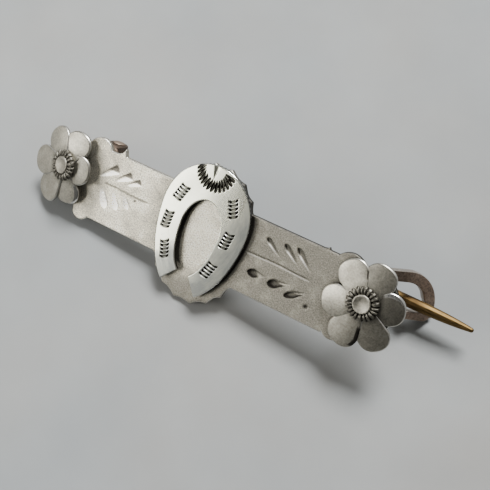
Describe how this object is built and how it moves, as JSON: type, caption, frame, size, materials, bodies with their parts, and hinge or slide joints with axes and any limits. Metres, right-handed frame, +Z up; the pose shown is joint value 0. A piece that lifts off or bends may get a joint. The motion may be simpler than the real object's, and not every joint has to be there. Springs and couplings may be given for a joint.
{
  "type": "bar brooch with horseshoe",
  "caption": "Silver bar brooch with a horseshoe at its middle, a six-petalled flower at each end, engraved sprigs, and a brass pin that closes in an open hook.",
  "frame": {"origin": "on the surface the brooch lies on, under the middle of its box", "axes": "+X along the bar towards the catch and the pin's point, +Y towards the toe of the horseshoe, +Z up from the surface; the face looks up, leaning back"},
  "size_m": [0.0508, 0.0132, 0.0105],
  "materials": {
    "frosted_silver": "frosted silver, lightly tarnished",
    "bright_silver": "polished silver, worn",
    "dark_silver": "tarnished silver",
    "pin_brass": "worn brass"
  },
  "bodies": {
    "brooch": {"bar_plate": "frosted_silver", "horseshoe": "bright_silver", "left_flower": "frosted_silver", "right_flower": "frosted_silver", "catch": "dark_silver", "hinge": "dark_silver", "hinge_rivet": "dark_silver"},
    "pin": {"pin_stem": "pin_brass"}
  },
  "joints": [
    {"name": "pin_hinge", "type": "hinge", "parent": "brooch", "child": "pin", "pos_m": [-0.0173, 0.003, 0.0023], "axis": [-0.0471, 0.8268, 0.5605], "range_deg": [0, 180]}
  ]
}
